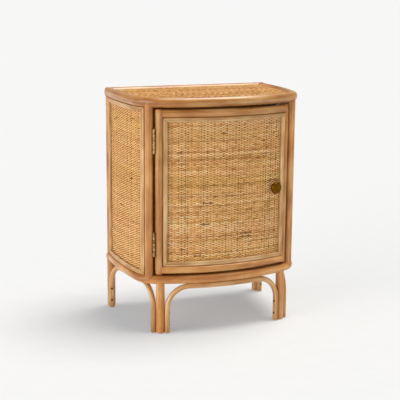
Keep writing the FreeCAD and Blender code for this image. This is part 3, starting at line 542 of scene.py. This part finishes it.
def woven(node, span, rise, warp_places, place, scars, dark_warps, paleness=0.53, liveliness=1.0):
    """A woven panel, laid out flat and then put in its place.

    span and rise say where its wefts and its warps start and end. place turns flat points (along, up,
    through) into points of the cabinet. Scars are dark stretches of single wefts as (up, from, to). No two
    crossings are alike: each has its own lift and rub."""
    length, height = span[1] - span[0], rise[1] - rise[0]
    rows = int(height/weft_pitch)
    warps = len(warp_places)
    row_places = sum(rise)/2 + (np.arange(rows) - (rows - 1)/2)*weft_pitch
    warp_places = warp_places + draw.normal(0.0, warp_wander, warps)

    shape = bmesh.new()
    weft_vertices = add_strands(shape, length, warps*steps_per_warp, weft_width, weft_thickness, rows, weft_pitch)
    add_strands(shape, height, warp_steps, warp_width, warp_thickness, warps, warp_pitch)
    mesh = bpy.data.meshes.new(node + "_strands")
    shape.to_mesh(mesh)
    shape.free()
    flat = vertices(mesh)

    along, across, through = flat[:weft_vertices].T.copy()
    row = np.rint(across/weft_pitch).astype(int)
    across -= row*weft_pitch
    knot = np.clip((along/length + 0.5)*sway_stretches, 0, sway_stretches - 1e-6)
    along += sum(span)/2
    phase = np.interp(along, warp_places, np.arange(warps))
    beyond = (along - np.clip(along, warp_places[0], warp_places[-1]))/warp_pitch
    crest = np.cos(math.pi*(phase + beyond))*np.where(row % 2 == 0, 1.0, -1.0)
    crossing = np.rint(phase).astype(int)
    lift = weft_lift*draw.uniform(0.55, 1.0, (rows, warps))[row, crossing]
    rub = draw.normal(0.0, 0.10*liveliness, (rows, warps))[row, crossing]
    widths = np.clip(draw.normal(0.97, 0.09, rows), 0.70, 1.06)
    wander = np.stack([slow_noise(rows, 5) for _ in range(sway_stretches + 1)], axis=1)*weft_sway
    left = knot.astype(int)
    sway = wander[row, left]*(1 - knot + left) + wander[row, left + 1]*(knot - left)
    up = row_places[row] + across*widths[row]*(1 + 0.1*np.abs(crest)) + sway
    weft_points = np.stack([along, up, through + lift*crest], axis=1)

    bands = slow_noise(rows, 9)
    splice = span[0] + draw.uniform(-0.1, 1.1, rows)*length
    tones = paleness + 0.08*bands[:, None] + draw.normal(0.0, 0.10*liveliness, (rows, 2))
    yellows = np.clip(0.35 + 0.5*slow_noise(rows, 7)[:, None] + draw.normal(0.0, 0.22, (rows, 2)), 0, 1)
    part = (along > splice[row]).astype(int)
    # The crests that face out are drawn paler and the hollows beside the warps darker: partly rubbed wear on the
    # crests, partly painted highlight on the crests and painted shade in the hollows
    tone = tones[row, part] + rub + 0.11*crest
    scar = np.zeros(len(along))
    for scar_up, scar_from, scar_to in scars:
        marked = row == int(np.argmin(np.abs(row_places - scar_up)))
        scar[marked & (along > scar_from) & (along < scar_to)] = draw.uniform(0.6, 0.9)
    weft_strand = np.stack([tone, yellows[row, part], scar], axis=1)
    weft_along = np.stack([along + row*0.37, across, through], axis=1)

    climb, across, through = flat[weft_vertices:].T.copy()
    warp = np.rint(across/warp_pitch).astype(int)
    across -= warp*warp_pitch
    # The warps show only in the hollows between the wefts. Their dark share here (random, and strong for the listed
    # dark warps) and their low tone below draw them dark brown: partly their own browner cane, partly painted shade in
    # those hollows.
    dark = draw.uniform(0.0, 0.35, warps)
    for dark_place in dark_warps:
        dark[int(np.argmin(np.abs(warp_places - dark_place)))] = 0.9
    warp_points = np.stack([warp_places[warp] + across, climb + sum(rise)/2, -through], axis=1)
    # Low tone of the warps, partly their own colour and partly painted shade in the hollows
    warp_tone = draw.normal(0.16, 0.1, warps)
    warp_strand = np.stack([warp_tone[warp], np.full(len(warp), 0.4), dark[warp]], axis=1)
    warp_along = np.stack([climb + warp*0.53, across, through], axis=1)

    points = place(*np.concatenate([weft_points, warp_points]).T)
    mesh.vertices.foreach_set("co", points.astype(np.float32).ravel())
    set_attribute(mesh, "strand", np.concatenate([weft_strand, warp_strand]))
    set_attribute(mesh, "along", np.concatenate([weft_along, warp_along]))
    mesh.shade_smooth()
    mesh.update()
    finished(bpy.data.objects.new(node + "_strands", mesh), node)


def random_scars(count, span, rise):
    """Dark stretches scattered over a panel."""
    starts = draw.uniform(*span, count)
    return [(draw.uniform(*rise), begin, begin + draw.uniform(6, 26)*mm) for begin in starts]


def panel_rise(node):
    """Lowest and highest point of an upright panel's strands."""
    low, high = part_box(node)
    return low[2] + strand_margin, high[2] - strand_margin


def on_bow(along, up, through):
    return on_plan(along, through, up)


def weave_door():
    first, last = -stop_at_angle(hinge_stile_turn), stop_at_angle(closing_stile_turn)
    span = (first + hinge_stile_edge + strand_margin, last - closing_stile_edge - strand_margin)
    # Dark stretches and dark warps seen on the door, in mm from its middle and from the floor
    seen = ((334, -64, -35), (351, -36, -23), (351, 0, 21), (280, -69, -45), (241, 34, 72), (251, 39, 70),
            (200, -86, -66), (464, -129, -116), (485, 96, 110), (311, 54, 70), (217, -119, -109), (270, 92, 98),
            (376, 8, 14), (510, -17, -3), (496, 70, 82))
    scars = [(up*mm, begin*mm, end*mm) for up, begin, end in seen]
    dark_warps = [place*mm for place in (-108, -100, -56, -48, -3, 31, 110, 147)]
    woven("door_weave", span, panel_rise("door_weave"), warps_between(first, last, span), on_bow, scars, dark_warps)


def weave_side(side):
    node = "left_side_weave" if side < 0 else "right_side_weave"
    first, last = sorted((side*stop_at_angle(post_turn), side*back_stop))
    span = (first + post_edge + strand_margin, last - post_edge - strand_margin)
    rise = panel_rise(node)
    # The sides' strands are drawn a touch paler than the door's, as painted light, and more even in tone
    woven(node, span, rise, warps_between(first, last, span), on_bow, random_scars(9, span, rise),
          draw.uniform(*span, 3), paleness=0.54, liveliness=0.5)


def weave_top():
    """The top's wefts run from side to side, and every strand ends at the ring.

    The wefts come first among the points, so their number tells them from the warps."""
    low, high = (np.array(corner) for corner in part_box("top_weave"))
    outline = on_plan(np.linspace(0.0, back_stop, 241), -ring_inset, 0.0)
    front_half = outline[:int(np.argmax(outline[:, 0])) + 1]
    half_width = outline[:, 0].max()
    span = (-half_width, half_width)
    rise = (outline[:, 1].min(), high[1] - strand_margin)
    warp_places = warps_between(low[0], high[0], span)
    weft_vertices = int((rise[1] - rise[0])/weft_pitch)*strand_sides*(len(warp_places)*steps_per_warp + 1)

    def place(along, up, through):
        weft = np.arange(len(along)) < weft_vertices
        reach = np.interp(up, outline[:, 1], outline[:, 0])
        front = np.interp(np.abs(along), front_half[:, 0], front_half[:, 1])
        depth = np.where(weft, up, front + (up - rise[0])/(rise[1] - rise[0])*(rise[1] - front))
        across = np.where(weft, np.clip(along, -reach, reach), along)
        return np.stack([across, depth, through + (low[2] + high[2])/2], axis=1)

    # The top's strands are drawn much darker than the door's and the sides', as painted shade for the dark holes
    # between the strands and the shadows of things standing on the top
    woven("top_weave", span, rise, warp_places, place, random_scars(10, span, rise), draw.uniform(*span, 4),
          paleness=0.36)


for order, node in enumerate(sorted(nodes)):
    if slot_of[node] in ("rattan_pole", "rattan_arch", "rattan_moulding"):
        dress_pole(node, order)
    elif slot_of[node] != "woven_rattan":
        finished(smooth_copy(node), node)

weave_door()
weave_side(-1)
weave_side(1)
weave_top()


# Stage


def pale_floor():
    """A wide matt sheet of white acrylic under the cabinet, softly lit from below."""
    shape = bmesh.new()
    bmesh.ops.create_grid(shape, x_segments=1, y_segments=1, size=60.0)
    mesh = bpy.data.meshes.new("floor")
    shape.to_mesh(mesh)
    shape.free()
    floor = bpy.data.objects.new("floor", mesh)
    bpy.context.scene.collection.objects.link(floor)
    material, surface = start("lit white acrylic", IOR=1.49, Specular_IOR_Level=0.0, Roughness=1.0,
                              Emission_Strength=0.275, Emission_Color=linear("#EAF5FF"))
    place = add(material, "ShaderNodeTexCoord")["Object"]
    tooth = add(material, "ShaderNodeTexNoise", {"Vector": place, "Scale": 1/(40*mm), "Detail": 2.0})
    colour = add(material, "ShaderNodeValToRGB", {"Fac": tooth["Fac"]}, [(0.3, "#BDBBB8"), (0.7, "#BFBDBA")])
    surface({"Base Color": colour["Color"]})
    mesh.materials.append(material)


def sun(name, direction, strength, spread, colour):
    """A soft light from far away; direction points from the cabinet to the light."""
    lamp = bpy.data.lights.new(name, "SUN")
    lamp.energy = strength
    lamp.angle = math.radians(spread)
    lamp.color = linear(colour)[:3]
    light = bpy.data.objects.new(name, lamp)
    light.rotation_euler = Vector(direction).to_track_quat("Z", "Y").to_euler()
    bpy.context.scene.collection.objects.link(light)


def studio():
    """Cool fill from all round that is brightest low down, a broad soft light from above on the right and a
    low one from the left."""
    world = bpy.data.worlds.new("studio")
    world.use_nodes = True
    backdrop = world.node_tree.nodes["Background"]
    backdrop.inputs["Color"].default_value = linear("#F8FBFF")
    upward = add(world, "ShaderNodeSeparateXYZ", {"Vector": add(world, "ShaderNodeTexCoord")["Generated"]})["Z"]
    glow = add(world, "ShaderNodeMapRange", {"Value": upward, "From Min": 0.0, "From Max": 0.25, "To Min": 0.92,
                                             "To Max": 0.31})
    world.node_tree.links.new(glow["Result"], backdrop.inputs["Strength"])
    bpy.context.scene.world = world
    sun("high softbox", (0.31, 0.0, 1.0), 2.95, 34, "#FFFDFA")
    sun("left softbox", (-1.0, -0.30, 0.12), 2.9, 60, "#FFFDFA")
    bpy.context.scene.view_settings.view_transform = "Standard"


def photo_camera():
    """Camera fitted to the legs, posts and rings in the photograph."""
    lens = bpy.data.cameras.new("photo camera")
    lens.sensor_width = 36.0
    lens.lens = 94.458
    lens.shift_x = 0.03908
    lens.shift_y = 0.01235
    lens.clip_end = 200.0
    camera = bpy.data.objects.new("photo camera", lens)
    place = Vector((-1.01095, -2.51524, 0.88999))
    target = Vector((-0.00086, 0.15443, 0.26493))
    roll = math.radians(0.3106)
    camera.location = place
    camera.rotation_mode = "QUATERNION"
    aim = (target - place).to_track_quat("-Z", "Y").to_matrix() @ Matrix.Rotation(roll, 3, "Z")
    camera.rotation_quaternion = aim.to_quaternion()
    bpy.context.scene.collection.objects.link(camera)
    bpy.context.scene.camera = camera


pale_floor()
studio()
photo_camera()
